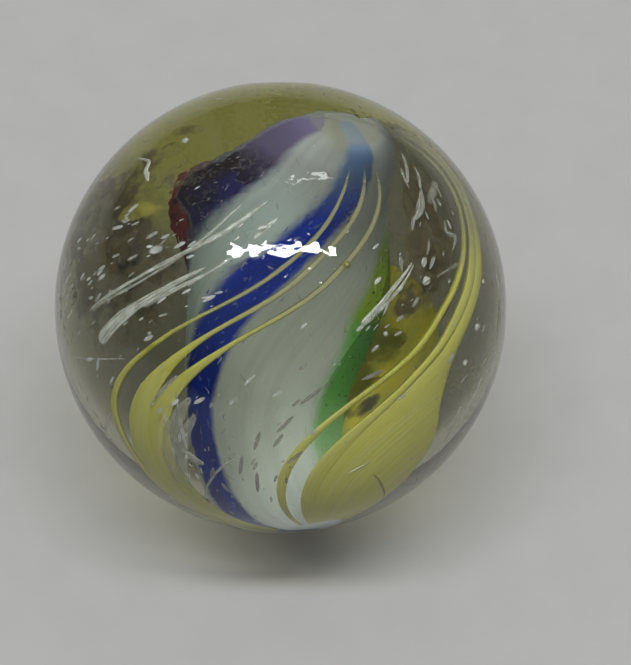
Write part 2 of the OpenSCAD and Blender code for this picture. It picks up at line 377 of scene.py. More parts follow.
# Angle of the blue stripe's middle below the height where the core begins to turn
BLUE_AT = -70

# How many degrees the stripes' side walls lean inwards
WALL_SLANT = 3

# Powers of the angle with which the face stands out to the red and the green edge
RED_POWER = 5
GREEN_POWER = 2

# The violet stripe's side walls lean by this share of its width, because it narrows to nothing
VIOLET_SLANT = 1 / 5


class CoreSection:
    """Where the core's colours meet and how far its face stands out, with angles counted from
    the middle of the blue stripe."""

    def __init__(self, c):
        self.c = c
        right_r, left_r = (c.face_r + c.green_edge_r) / 2, (c.face_r + c.red_edge_r) / 2
        self.blue_half = degrees_of(c.blue_w, c.face_r) / 2
        self.green_from = self.blue_half + degrees_of(c.white_right_w, right_r)
        self.green_to = self.green_from + degrees_of(c.green_w, c.green_edge_r)
        self.violet_to = -self.blue_half - degrees_of(c.white_left_w, left_r)
        self.red_from = self.violet_to - degrees_of(c.violet_w + c.red_w, c.red_edge_r)
        self.back_from = self.green_to + WALL_SLANT
        self.back_to = self.red_from - WALL_SLANT + 360

    def turned(self, h):
        """How far the core has turned at height h."""
        c = self.c
        return c.turn * smooth((h - c.turn_from) / (c.turn_to - c.turn_from))

    def violet_from(self, h):
        """Where red gives way to violet, which moves towards the edge as the core rises."""
        c = self.c
        width = c.red_tip_w + (c.red_w - c.red_tip_w) * smooth((c.red_top - h) / c.red_fade)
        return self.red_from + degrees_of(width, c.red_edge_r)

    def reach(self, a, h):
        """Distance of the face from the axis: it stands out steeply to the red edge and gently
        to the green one, each over its own stretch of the height."""
        c = self.c
        red = (c.red_edge_r - c.face_r) * np.exp(-(((h - c.red_edge_h) / c.red_edge_reach) ** 2))
        red = red * np.minimum(np.abs(2 * a / (self.violet_to + self.red_from)) ** RED_POWER, 1)
        green = smooth((h - c.green_edge_from) / (c.green_edge_to - c.green_edge_from))
        green = (c.green_edge_r - c.face_r) * green
        green = green * np.minimum((a / self.green_from) ** GREEN_POWER, 1)
        past = np.maximum((a - self.green_from) / (self.green_to - self.green_from), 0)
        return c.face_r + np.where(a < 0, red, green - c.green_round * past)

    def stretch(self, h, start, stop, count, depth=0.0):
        """Angles and distances of part of the section from start to stop, for every height."""
        start, stop, _ = np.broadcast_arrays(start, stop, h)
        angles = start[:, None] + (stop - start)[:, None] * np.linspace(0, 1, count)
        return angles, self.reach(angles, h[:, None]) - depth

    def parts(self, h, fine=3):
        """Outer and inner faces of the colours, and the white between, for every height. A
        stripe has 4 times fine steps across, an edge 2 times and the whites 5 and 6 times."""
        c, slant = self.c, WALL_SLANT
        violet = self.violet_from(h)
        wall = (self.violet_to - violet) * VIOLET_SLANT
        half = self.blue_half
        stripe, edge = 4 * fine + 1, 2 * fine + 1
        return {
            "red": (
                self.stretch(h, self.red_from, violet, edge),
                self.stretch(h, self.red_from - slant, violet - slant, edge, c.edge_t),
            ),
            "violet": (
                self.stretch(h, violet, self.violet_to, stripe),
                self.stretch(h, violet + wall, self.violet_to - wall, stripe, c.stripe_t),
            ),
            "blue": (
                self.stretch(h, -half, half, stripe),
                self.stretch(h, -half + slant, half - slant, stripe, c.stripe_t),
            ),
            "green": (
                self.stretch(h, self.green_from, self.green_to, edge),
                self.stretch(h, self.green_from + slant, self.back_from, edge, c.edge_t),
            ),
            "white": (
                self.stretch(h, self.violet_to, -half, 5 * fine + 1),
                self.stretch(h, half, self.green_from, 6 * fine + 1),
            ),
        }

    def hollow_back(self, green_in, red_in, count=48):
        """From the green edge round to the red one, dipping towards the axis between them as the
        square of a sine does."""
        u = np.linspace(0, 1, count + 1)[1:-1]
        first, last = green_in[1][:, -1:], red_in[1][:, :1]
        r = first + (last - first) * u
        r = r + (self.c.back_r - r) * np.sin(np.pi * u) ** 2
        return np.broadcast_to(self.back_from + (self.back_to - self.back_from) * u, r.shape), r

    def put_in_place(self, s, h, stretches):
        """Joins stretches of the section side by side and puts them in place at every height.
        Gives the points and what the materials read at each of them."""
        angles = np.concatenate([np.broadcast_to(a, r.shape) for a, r in stretches], 1)
        radii = np.concatenate([r for a, r in stretches], 1)
        along = np.broadcast_to(h[:, None], angles.shape)
        turned = angles + BLUE_AT + self.turned(h)[:, None]
        points = swirl(s, turned, radii, along, CORE_POWER)
        values = {"across": angles, "along": along, "past_red": angles - self.violet_from(along)}
        return points, values


# ---------------------------------------------------------------- materials

class Nodes:
    """The nodes of one material or world. Each method adds a node and gives back its output."""

    def __init__(self, owner, kind="Material"):
        self.owner = owner
        owner.use_nodes = True
        self.tree = owner.node_tree
        self.tree.nodes.clear()
        self.output = self.tree.nodes.new("ShaderNodeOutput" + kind)

    @classmethod
    def material(cls, name):
        return cls(bpy.data.materials.new(name))

    def put(self, socket, value):
        """Links a node's output to the socket, or sets the socket to a colour or number."""
        if isinstance(value, bpy.types.NodeSocket):
            self.tree.links.new(value, socket)
        elif socket.type == "RGBA":
            socket.default_value = (*tuple(value)[:3], 1)
        else:
            socket.default_value = value

    def add(self, kind, inputs, **settings):
        """Adds a node with its inputs and settings, and gives back the node itself."""
        node = self.tree.nodes.new("ShaderNode" + kind)
        for key, value in settings.items():
            setattr(node, key, value)
        for key, value in inputs.items():
            self.put(node.inputs[key], value)
        return node

    def math(self, operation, a, b=0.0):
        return self.add("Math", {0: a, 1: b}, operation=operation).outputs[0]

    def plus(self, a, b):
        return self.math("ADD", a, b)

    def times(self, a, b):
        return self.math("MULTIPLY", a, b)

    def left(self, share):
        """What a share leaves of 1."""
        return self.math("SUBTRACT", 1.0, share)

    def sway(self, noise, width):
        """Noise about 0, spread over this width."""
        return self.times(self.plus(noise, -0.5), width)

    def mix(self, share, a, b):
        """From colour a to colour b by the share."""
        return self.add("Mix", {0: share, 6: a, 7: b}, data_type="RGBA").outputs[2]

    def mix_numbers(self, share, a, b):
        """From number a to number b by the share."""
        return self.add("Mix", {0: share, 2: a, 3: b}, data_type="FLOAT").outputs[0]

    def ramp(self, value, start, stop, low=0.0, high=1.0, kind="LINEAR"):
        """From low to high as the value goes from start to stop."""
        inputs = {"Value": value, "From Min": start, "From Max": stop, "To Min": low, "To Max": high}
        return self.add("MapRange", inputs, interpolation_type=kind).outputs[0]

    def fade(self, value, start, stop):
        """0 up to start and 1 from stop on, smooth between. Start may be the greater."""
        return self.ramp(value, start, stop, kind="SMOOTHSTEP")

    def value(self, name):
        """The number that the mesh stores under this name at each point."""
        return self.add("Attribute", {}, attribute_name=name).outputs["Fac"]

    def values(self, *names):
        return [self.value(name) for name in names]

    def grain(self, across, along, scale_across, scale_along, detail=2.0, seed=0.0):
        """Noise over the piece's own two directions, stretched by its two scales."""
        x, y = self.times(across, scale_across), self.times(along, scale_along)
        place = self.add("CombineXYZ", {0: x, 1: y, 2: seed}).outputs[0]
        return self.add("TexNoise", {"Vector": place, "Scale": 1.0, "Detail": detail}).outputs["Fac"]

    def place(self, space="Object"):
        """The place of each point in the piece's own space, in metres. In a world, the generated
        space holds the direction of view."""
        return self.add("TexCoord", {}).outputs[space]

    def height(self, place):
        """How high up a place or direction is."""
        return self.add("SeparateXYZ", {0: place}).outputs["Z"]

    def noise(self, place, scale, detail=2.0):
        """Noise in space, with its scale in repeats for each metre."""
        return self.add("TexNoise", {"Vector": place, "Scale": scale, "Detail": detail}).outputs["Fac"]

    def bump(self, height, distance):
        """A surface raised by height times a distance in metres."""
        return self.add("Bump", {"Height": height, "Distance": distance}).outputs[0]

    def principled(self, **inputs):
        named = {key.replace("_", " "): value for key, value in inputs.items()}
        return self.add("BsdfPrincipled", named).outputs[0]

    def finish(self, shader):
        """Puts the shader on the surface and gives back the material or world."""
        self.put(self.output.inputs["Surface"], shader)
        return self.owner


# Shades that a glass takes on in some places
SHADES = SimpleNamespace(
    core_end=(0.22, 0.23, 0.17),
    dull_white=(0.21, 0.22, 0.165),
    grey_dash=(0.16, 0.17, 0.14),
    blue_speck=(0.13, 0.20, 0.42),
    upper_blue=(0.11, 0.20, 0.40),
    blue_top=(0.17, 0.25, 0.36),
    blue_foot=(0.10, 0.17, 0.32),
    maroon=(0.012, 0.004, 0.007),
    black_patch=(0.008, 0.004, 0.008),
    grey_vein=(0.16, 0.15, 0.17),
    grey_flake=(0.33, 0.35, 0.38),
    violet_border=(0.07, 0.07, 0.24),
    upper_violet=(0.14, 0.12, 0.23),
    yellow_line=(0.46, 0.48, 0.22),
    pale_yellow=(0.27, 0.275, 0.16),
    upper_yellow=(0.225, 0.225, 0.125),
    olive=(0.88, 0.86, 0.27),
    light_olive=(0.95, 0.97, 0.46),
    dark_olive=(0.48, 0.47, 0.22),
    wisp=(0.60, 0.62, 0.52),
    amber_shadow=(0.14, 0.15, 0.03),
    amber_speck=(0.20, 0.13, 0.02),
)

# What the shaders of the inner glasses share: they are cased in clear glass, so no surface of
# theirs shines
CASED = {"Roughness": 0.5, "Specular_IOR_Level": 0.0}

# Heights in metres between which the beads grow on the ball's crown
CROWN = (0.0076, 0.0084)


def shade(rgb, *factors):
    """A colour times one factor, or times one for each of red, green and blue."""
    return tuple(factor * v for factor, v in zip(factors * (3 // len(factors)), rgb))


def clear_glass_material(c):
    """Tinted clear glass, worn by faint ripples and pits, and by fine beads on its crown. Lamps
    shine through it to what is inside."""
    n = Nodes.material("clear_glass")
    place = n.place()
    turned = {"Vector": place, "Rotation": (0, 0.7, 0.5), "Scale": (1, 4, 1)}
    ripples = n.noise(n.add("Mapping", turned).outputs[0], 700, 1.0)
    broad = n.times(n.noise(place, 130, 1.0), 6.0)
    pits = n.times(n.fade(n.noise(place, 2600, 0.0), 0.30, 0.22), 2.5)
    crown = n.fade(n.height(place), *CROWN)
    beads = n.times(n.noise(place, 3000, 0.0), n.plus(0.8, n.times(crown, 4.0)))
    height = n.math("SUBTRACT", n.plus(n.plus(ripples, broad), beads), pits)
    glass = n.principled(
        Base_Color=(1, 1, 1), Roughness=0.01, IOR=1.5, Transmission_Weight=1.0,
        Normal=n.bump(height, 0.0000022),
    )
    through = n.add("BsdfTransparent", {"Color": c.lamp_through}).outputs[0]
    lamp = n.add("LightPath", {}).outputs["Is Shadow Ray"]
    tint = n.add("VolumeAbsorption", {"Color": c.tint, "Density": c.tint_density}).outputs[0]
    n.put(n.output.inputs["Volume"], tint)
    return n.finish(n.add("MixShader", {0: lamp, 1: glass, 2: through}).outputs[0])


def white_part(n, c, at):
    """White at the foot of the core and milky above, dull at its end, with brown lines and grey
    dashes."""
    streaks = n.grain(at.across, at.along, 0.12, 0.16, 4.0, 3.0)
    milky = n.mix(n.fade(at.angle, -10, 10), shade(c.milky, 1.35, 1.5, 1.62), c.milky)
    white = n.mix(n.fade(at.rise, -5.0, 3.0), c.white, milky)
    white = n.mix(n.fade(at.rise, 5.0, 8.0), white, shade(c.milky, 1.1))
    white = n.mix(n.times(n.fade(streaks, 0.6, 0.35), 0.10), white, c.brown)
    white = n.mix(n.fade(at.rise, 9.0, 11.5), white, SHADES.dull_white)
    slanted = n.plus(at.across, n.times(at.along, 22.0))
    dashes = n.fade(n.grain(slanted, at.along, 0.25, 1.2, 1.0, 21.0), 0.68, 0.76)
    return n.mix(n.times(dashes, 0.35), white, SHADES.grey_dash)


def blue_part(n, c, at, section):
    """Blue in lighter and darker depths, with pale specks, and paler at its top and foot. Gives
    the colour and its share. Halfway up the stripe spreads over the white on its left."""
    specks = n.fade(n.grain(at.across, at.along, 0.28, 3.2, 2.0, 5.0), 0.60, 0.72)
    depths = n.fade(n.grain(at.across, at.along, 0.08, 0.8, 3.0, 6.0), 0.35, 0.65)
    blue = n.mix(depths, shade(c.blue, 0.75), shade(c.blue, 1.1))
    blue = n.mix(specks, blue, SHADES.blue_speck)
    upper = n.fade(n.plus(at.along, n.times(at.cloud, 1.5)), 4.6, 8.3)
    blue = n.mix(upper, blue, SHADES.upper_blue)
    blue = n.mix(n.fade(at.along, 8.0, 9.2), blue, SHADES.blue_top)
    blue = n.mix(n.fade(at.along, -6.0, -9.0), blue, SHADES.blue_foot)

    half = section.blue_half
    halfway = n.times(n.fade(at.along, 2.6, 0.8), n.fade(at.along, -4.6, -2.6))
    left = n.fade(n.plus(at.angle, n.times(halfway, 26.0)), -half - 7, -half + 4)
    narrowed = n.plus(at.angle, n.times(n.fade(at.along, -3.0, -8.0), -9.0))
    right = n.times(n.fade(at.angle, half + 4, half - 3), n.fade(narrowed, -half - 16, -half - 2))
    return blue, n.times(left, right)


def violet_part(n, c, at, section):
    """Violet with black patches, grey veins and flakes, maroon on its left and paler above. Gives
    the colour and its share."""
    stop = section.violet_to
    share = n.times(n.fade(at.past_left, -5, 3), n.fade(at.angle, stop + 9, stop - 4))
    flakes = n.fade(n.grain(at.across, at.along, 0.25, 2.6, 2.0, 9.0), 0.62, 0.70)
    violet = n.mix(n.fade(at.angle, stop - 24, stop - 6), SHADES.maroon, c.violet)
    patches = n.grain(at.across, at.along, 0.06, 0.8, 2.0, 19.0)
    violet = n.mix(n.times(n.fade(patches, 0.56, 0.42), 0.8), violet, SHADES.black_patch)
    veins = n.grain(at.across, at.along, 0.12, 1.6, 4.0, 15.0)
    veins = n.times(n.fade(veins, 0.46, 0.5), n.fade(veins, 0.54, 0.5))
    veins = n.times(veins, n.fade(patches, 0.6, 0.45))
    violet = n.mix(n.times(veins, 0.5), violet, SHADES.grey_vein)
    violet = n.mix(n.fade(at.angle, stop - 4, stop + 6), violet, SHADES.violet_border)
    violet = n.mix(n.fade(at.rise, 6.4, 7.6), violet, SHADES.upper_violet)
    return n.mix(n.times(flakes, n.fade(at.along, 6.5, 5.5)), violet, SHADES.grey_flake), share


def red_part(n, c, at):
    """Red with dark dots. Gives the colour and its share."""
    dots = n.fade(n.grain(at.across, at.along, 0.25, 3.0, 1.0, 11.0), 0.58, 0.64)
    share = n.times(n.fade(at.past_left, 3, -5), n.fade(at.across, 60, 40))
    return n.mix(dots, c.red, shade(c.red, 0.15)), share


def green_part(n, c, at, section):
    """Green with dark grains, yellowish above and whitish at its foot. Gives the colour and its
    share, which fades out towards the top and round the back."""
    grains = n.fade(n.grain(at.across, at.along, 0.5, 6.0, 1.0, 13.0), 0.62, 0.72)
    green = n.mix(n.fade(at.along, 0.9, -0.3), c.green, c.low_green)
    green = n.mix(grains, green, shade(c.green, 0.35))
    green = n.mix(n.fade(at.along, -1.5, -7.5), green, shade(c.white, 0.72, 1.0, 0.62))
    green = n.mix(n.fade(at.along, -6.0, -8.0), green, c.white)
    back = n.fade(at.across, section.back_from + 10, section.back_from + 22)
    start = section.green_from
    wider = n.plus(at.angle, n.times(n.fade(at.along, -1.5, 1.0), 13.0))
    share = n.times(n.left(back), n.fade(at.along, 3.6, 2.2))
    return green, n.times(n.fade(wider, start - 5, start + 5), share)


def face_colour(n, c, section):
    """The colour of the core's face by its angle from the blue stripe's middle and its height.
    Each colour fades into its neighbours over a few degrees, with a ragged line between."""
    at = SimpleNamespace(across=n.value("across"), along=n.value("along"))
    wander = n.sway(n.grain(at.across, at.along, 0.10, 0.9, 3.0), 7.0)
    at.angle = n.plus(at.across, wander)
    at.past_left = n.plus(n.value("past_red"), wander)
    at.cloud = n.grain(at.across, at.along, 0.02, 0.25, 2.0, 7.0)
    at.rise = n.plus(at.along, n.times(at.cloud, 3.0))

    blue, near_blue = blue_part(n, c, at, section)
    violet, near_violet = violet_part(n, c, at, section)
    red, near_red = red_part(n, c, at)
    green, near_green = green_part(n, c, at, section)
    face = n.mix(near_blue, white_part(n, c, at), blue)
    face = n.mix(near_violet, face, violet)
    face = n.mix(near_red, face, violet)
    face = n.mix(n.times(near_red, n.fade(at.along, 4.9, 4.1)), face, red)
    face = n.mix(near_green, face, green)
    return n.mix(n.fade(at.along, 8.9, 9.2), face, SHADES.core_end)


def core_glass_material(name, c, section):
    """Opaque glass of the core, coloured by its place on the face, with fine lengthwise lines."""
    n = Nodes.material(name)
    lines = n.grain(*n.values("across", "along"), 0.5, 0.5, 3.0, 1.0)
    base = face_colour(n, c, section)
    return n.finish(n.principled(Base_Color=base, Normal=n.bump(lines, 0.00002), **CASED))


def yellow_glass_material(name, c, paling, light, top):
    """Glass of the front strands: fine yellow lines side by side, with paler glass between them
    and slits in the wide parts. The strands grow paler upwards by the share given as paling, are
    dull near their upper ends, and die away below the height top."""
    n = Nodes.material(name)
    across, along, edge, width = n.values("across", "along", "edge", "width")
    lines = n.grain(across, along, 6.0, 0.10, 3.0)
    broad = n.grain(across, along, 1.3, 0.25, 2.0, 4.0)
    yellow = n.mix(n.fade(broad, 0.3, 0.7), shade(c.yellow, 0.92 * light), shade(c.yellow, light))
    pale_line = shade(SHADES.yellow_line, light)
    yellow = n.mix(n.times(n.fade(lines, 0.45, 0.72), 0.5), yellow, pale_line)
    yellow = n.mix(n.times(n.fade(along, -1.0, 4.0), paling), yellow, SHADES.pale_yellow)
    yellow = n.mix(n.times(n.fade(along, 4.0, 6.5), 0.8), yellow, SHADES.upper_yellow)
    slits = n.fade(n.grain(across, along, 3.0, 0.35, 2.0, 8.0), 0.22, 0.28)
    solid = n.math("MAXIMUM", slits, n.fade(width, 1.1, 0.9))
    soft_edge = n.fade(n.plus(edge, n.sway(lines, 0.04)), 0.0, 0.04)
    ends = n.fade(along, top, top - 0.8)
    return n.finish(n.principled(
        Base_Color=yellow, Alpha=n.times(n.times(solid, soft_edge), ends),
        Normal=n.bump(lines, 0.000015), **CASED,
    ))


def olive_glass_material():
    """Glass of the back strands: soft streaky olive above, which dies away towards the top, and
    pale wisps lower down."""
    n = Nodes.material("olive_glass")
    across, along, edge = n.values("across", "along", "edge")
    streaks = n.grain(across, along, 1.6, 0.7, 3.0)
    clouds = n.grain(across, along, 0.5, 0.5, 2.0, 4.0)
    olive = n.mix(n.fade(streaks, 0.3, 0.7), SHADES.olive, SHADES.light_olive)
    olive = n.mix(n.times(n.fade(clouds, 0.55, 0.35), 0.5), olive, SHADES.dark_olive)
    low = n.fade(n.plus(along, n.sway(clouds, 1.0)), 0.1, -0.6)
    wisps = n.times(n.fade(n.grain(across, along, 4.0, 0.25, 2.0, 17.0), 0.52, 0.68), 0.4)
    trace = n.times(n.fade(along, 7.0, 5.5), 0.2)
    body = n.times(n.fade(along, 5.0, 2.0), 0.8)
    soft_edge = n.times(n.fade(edge, -0.01, 0.08), n.plus(trace, body))
    return n.finish(n.principled(
        Base_Color=n.mix(low, olive, SHADES.wisp),
        Alpha=n.times(soft_edge, n.mix_numbers(low, 1.0, wisps)),
        Normal=n.bump(streaks, 0.00003), **CASED,
    ))


def amber_glass_material(c):
    """Streaky amber glass of the fin, dark olive beside the green edge, with brown specks and a
    ragged outline."""
    n = Nodes.material("amber_glass")
    across, along, edge = n.values("across", "along", "edge")
    streaks = n.grain(across, along, 0.10, 0.8, 3.0)
    amber = n.mix(n.fade(streaks, 0.35, 0.65), shade(c.amber, 0.72, 0.80, 1.6), c.amber)
    clouds = n.grain(across, along, 0.07, 0.9, 3.0, 4.0)
    beside = n.fade(n.plus(edge, n.sway(clouds, 0.7)), 0.62, 0.82)
    amber = n.mix(n.times(beside, n.fade(along, 0.6, -0.6)), amber, SHADES.amber_shadow)
    specks = n.fade(n.grain(across, along, 0.16, 2.4, 1.0, 8.0), 0.66, 0.74)
    amber = n.mix(n.times(specks, 0.7), amber, SHADES.amber_speck)
    frayed = n.sway(n.grain(across, along, 0.3, 3.0, 2.0, 9.0), 0.3)
    return n.finish(n.principled(
        Base_Color=amber, Alpha=n.fade(n.plus(edge, frayed), 0.0, 0.12),
        Normal=n.bump(streaks, 0.00003), **CASED,
    ))


def inclusion_material(c):
    """Air and marks in the clear glass. How bright each piece is runs from dark brown marks to
    silver, which is painted reflection: the light that air and cracks in glass reflect. Its warm
    runs from silver to amber, and its solid says how much it hides. Streaky ones have clearer
    lines along them, and mottled ones clearer patches."""
    n = Nodes.material("inclusions")
    grain = n.noise(n.place(), 2500, 2.0)
    light = n.mix(n.value("warm"), c.silver, c.amber)
    patchy = n.times(n.value("bright"), n.ramp(grain, 0.3, 0.7, 0.55, 1.1))
    lines = n.fade(n.grain(n.value("side"), n.value("run"), 16.0, 0.5, 2.0), 0.38, 0.58)
    between = n.times(n.value("streaky"), n.left(lines))
    gaps = n.times(n.value("mottled"), n.fade(n.noise(n.place(), 850, 4.0), 0.58, 0.42))
    solid = n.times(n.value("solid"), n.left(n.times(between, 0.65)))
    solid = n.times(solid, n.left(n.times(gaps, 0.85)))
    ragged = n.plus(n.value("rim"), n.sway(n.noise(n.place(), 900, 3.0), 1.4))
    return n.finish(n.principled(
        Base_Color=n.mix(patchy, c.brown, light), Roughness=0.25,
        Alpha=n.times(solid, n.fade(ragged, 1.0, 0.6)), Normal=n.bump(grain, 0.00004),
    ))


# ---------------------------------------------------------------- pieces

# How many rings a piece has from end to end, and how many sides the ball's rings have
CORE_RINGS = 150
STRAND_RINGS = 160
FIN_RINGS = 61
BALL_RINGS = 159
BALL_SIDES = 256

# How many places across a strand's and the fin's face
STRAND_PLACES = 21
FIN_PLACES = 17

# How far past the red edge, in degrees, the core's closing points read as lying: in the white
ENDS_PAST_RED = 90


def make_core(s, section):
    """The white core: its section is the colours' inner faces, the white between and the hollow
    back, and its ends close on the axis."""
    h = ring_heights(s, CORE_RINGS)
    parts = section.parts(h)
    red_in, green_in = parts["red"][1], parts["green"][1]
    violet_start = tuple(v[:, :1] for v in parts["violet"][0])
    stretches = [
        red_in, violet_start, parts["violet"][1], parts["white"][0], parts["blue"][1],
        parts["white"][1], green_in, section.hollow_back(green_in, red_in),
    ]
    points, values = section.put_in_place(s, h, stretches)
    rows, columns = points.shape[:2]
    ends = swirl(s, 0, 0, h[[0, -1]], CORE_POWER)
    end_values = {"across": (0, 0), "along": h[[0, -1]], "past_red": (ENDS_PAST_RED,) * 2}
    values = {key: np.append(v, end_values[key]) for key, v in values.items()}
    points = np.concatenate([points.reshape(-1, 3), ends])
    return make_piece("white_core_glass", points, capped_faces(rows, columns), values)


def make_stripe(s, section, name, outer, inner):
    """A stripe of the core: out along its outer face and back along its inner one, at each
    height."""
    back = tuple(v[:, ::-1] for v in inner)
    points, values = section.put_in_place(s, ring_heights(s, CORE_RINGS), [outer, back])
    rows, columns = points.shape[:2]
    return make_piece(name, points.reshape(-1, 3), ribbon_faces(rows, columns).tolist(), values)


# The amber fin's heights: its lower end, where it stands out most, and its upper end, and how
# far short of its ends its first and last rings stand
FIN_LOW, FIN_MIDDLE, FIN_HIGH = -4.3, -0.7, 1.7
FIN_SHORT = 0.05

# How many degrees the fin starts under the green edge, and how many it reaches round from there
FIN_UNDER = 4
FIN_REACH = 42

# The fin's distance from the axis where it starts, and how much further out its other side
# stands at its ends and, on top of that, where it stands out most
FIN_R = 2.95
FIN_OUT_ENDS = 0.15
FIN_OUT = 1.4
FIN_T = 0.2


def make_fin(s, section):
    """The amber fin beside the green edge. It starts under that edge and swings out from it as a
    sine rises, by an amount that is one less the square of the height's share of its reach."""
    h = np.linspace(FIN_LOW + FIN_SHORT, FIN_HIGH - FIN_SHORT, FIN_RINGS)
    above, below = FIN_HIGH - FIN_MIDDLE, FIN_MIDDLE - FIN_LOW
    full = 1 - ((h - FIN_MIDDLE) / np.where(h > FIN_MIDDLE, above, below)) ** 2
    u = np.linspace(0, 1, FIN_PLACES)
    angles = section.green_to - FIN_UNDER + FIN_REACH * full[:, None] * u
    out = FIN_R + (FIN_OUT_ENDS + FIN_OUT * full[:, None]) * np.sin(np.pi / 2 * u)
    back = (angles[:, ::-1], out[:, ::-1] - FIN_T)
    points, values = section.put_in_place(s, h, [(angles, out), back])
    values["edge"] = np.broadcast_to(1 - np.concatenate([u, u[::-1]]), values["along"].shape)
    faces = ribbon_faces(*points.shape[:2])
    return make_piece("amber_fin", points.reshape(-1, 3), faces.tolist(), values)


# Each strand's angles in degrees and widths in mm where the ball is widest, at seven heights
# evenly spaced from the lower cut end to the upper one
STRANDS = {
    "left_strands": (
        ((-20, -25.4, -34.2, -30.9, -28.3, -31.7, -37), (0.40, 0.44, 0.44, 0.29, 0.25, 0.25, 0.25)),
        ((-14, -19.6, -22.6, -21.8, -20.7, -24.4, -24.5), (1.2, 1.4, 1.2, 0.40, 0.32, 0.3, 0.3)),
        ((-5.2, -11.5, -15.3, -13.6, -12.6, -15.3, -14), (1.4, 1.7, 1.0, 0.38, 0.32, 0.3, 0.3)),
    ),
    "right_strands": (
        ((36, 35.8, 36.7, 36.7, 33.3, 36.7, 50), (0.6, 0.6, 0.42, 0.40, 0.38, 0.42, 0.42)),
        ((50, 49.5, 48.3, 44.9, 41.4, 43.2, 61.5), (1.3, 1.1, 0.6, 0.52, 0.76, 0.76, 0.7)),
        ((80, 71.5, 59.3, 50.3, 46.3, 48, 68), (8.1, 6, 2.8, 1.05, 0.85, 0.85, 0.8)),
    ),
    "back_strands": (
        ((178, 176, 174, 174, 174, 175, 176), (0.5, 0.8, 1.1, 1.35, 1.3, 0.9, 0.6)),
        ((187, 186, 184.3, 184.3, 184.5, 185, 186), (0.8, 1.2, 1.7, 1.9, 1.85, 1.4, 0.9)),
        ((197, 196, 194.4, 194.3, 194.5, 196, 198), (0.5, 0.8, 1.2, 1.4, 1.35, 1, 0.6)),
    ),
}

# A strand's thickness at its rim, as a share of its full thickness
STRAND_RIM = 0.3


def make_strands(s, name):
    """A set of strands. Each is a thin lens in section: half its thickness times its rim's share
    plus the rest of a half circle, and its middle and width follow its listed values from end
    to end."""
    h = ring_heights(s, STRAND_RINGS)
    radius = s.ball_d / 2 - s.strand_depth
    across = 0.5 * np.sin(np.linspace(-np.pi / 2, np.pi / 2, STRAND_PLACES))
    circle = np.sqrt(np.maximum(1 - 4 * across ** 2, 0))
    half = s.strand_t / 2 * (STRAND_RIM + (1 - STRAND_RIM) * circle)
    side = np.concatenate([across, across[::-1]])
    lift = np.concatenate([half, -half[::-1]])
    rows, columns = len(h), len(side)
    points, faces, values = [], [], {"across": [], "along": [], "edge": [], "width": []}
    for number, (angles, widths) in enumerate(STRANDS[name]):
        middle = listed(angles, h / h[-1])[:, None]
        width = listed(widths, h / h[-1])[:, None]
        turn = middle + degrees_of(width, radius) * side
        along = np.broadcast_to(h[:, None], turn.shape)
        points.append(strand_place(s, turn, radius + lift, along).reshape(-1, 3))
        faces.append(ribbon_faces(rows, columns) + number * rows * columns)
        values["across"].append(np.radians(turn).ravel() * radius)
        values["along"].append(along.ravel())
        values["edge"].append(((0.5 - np.abs(side)) * width).ravel())
        values["width"].append(np.broadcast_to(width, turn.shape).ravel())
    values = {key: np.concatenate(v) for key, v in values.items()}
    faces = np.concatenate(faces).tolist()
    return make_piece(name + "_glass", np.concatenate(points), faces, values)


def make_ball(s):
    """The clear ball: a sphere about the leaned axis. Its polar angle t runs from pi to 0 at the
    flat, and its distance is the radius, or where that is less the flat's height over cos t."""
    radius = s.ball_d / 2
    t = np.linspace(np.pi, 0, BALL_RINGS + 2)[1:-1, None]
    turn = np.linspace(0, 2 * np.pi, BALL_SIDES, endpoint=False)
    flat = radius - s.flat_depth
    reach = np.minimum(flat / np.maximum(np.cos(t), flat / radius), radius)
    ring, height = reach * np.sin(t), reach * np.cos(t)
    p = np.stack(np.broadcast_arrays(ring * np.cos(turn), ring * np.sin(turn), height), -1)
    poles = [[0, 0, -radius], [0, 0, flat]]
    points = tip_front(np.concatenate([p.reshape(-1, 3), poles]), -s.lean)
    return make_piece("glass_ball", points, capped_faces(len(t), len(turn)))
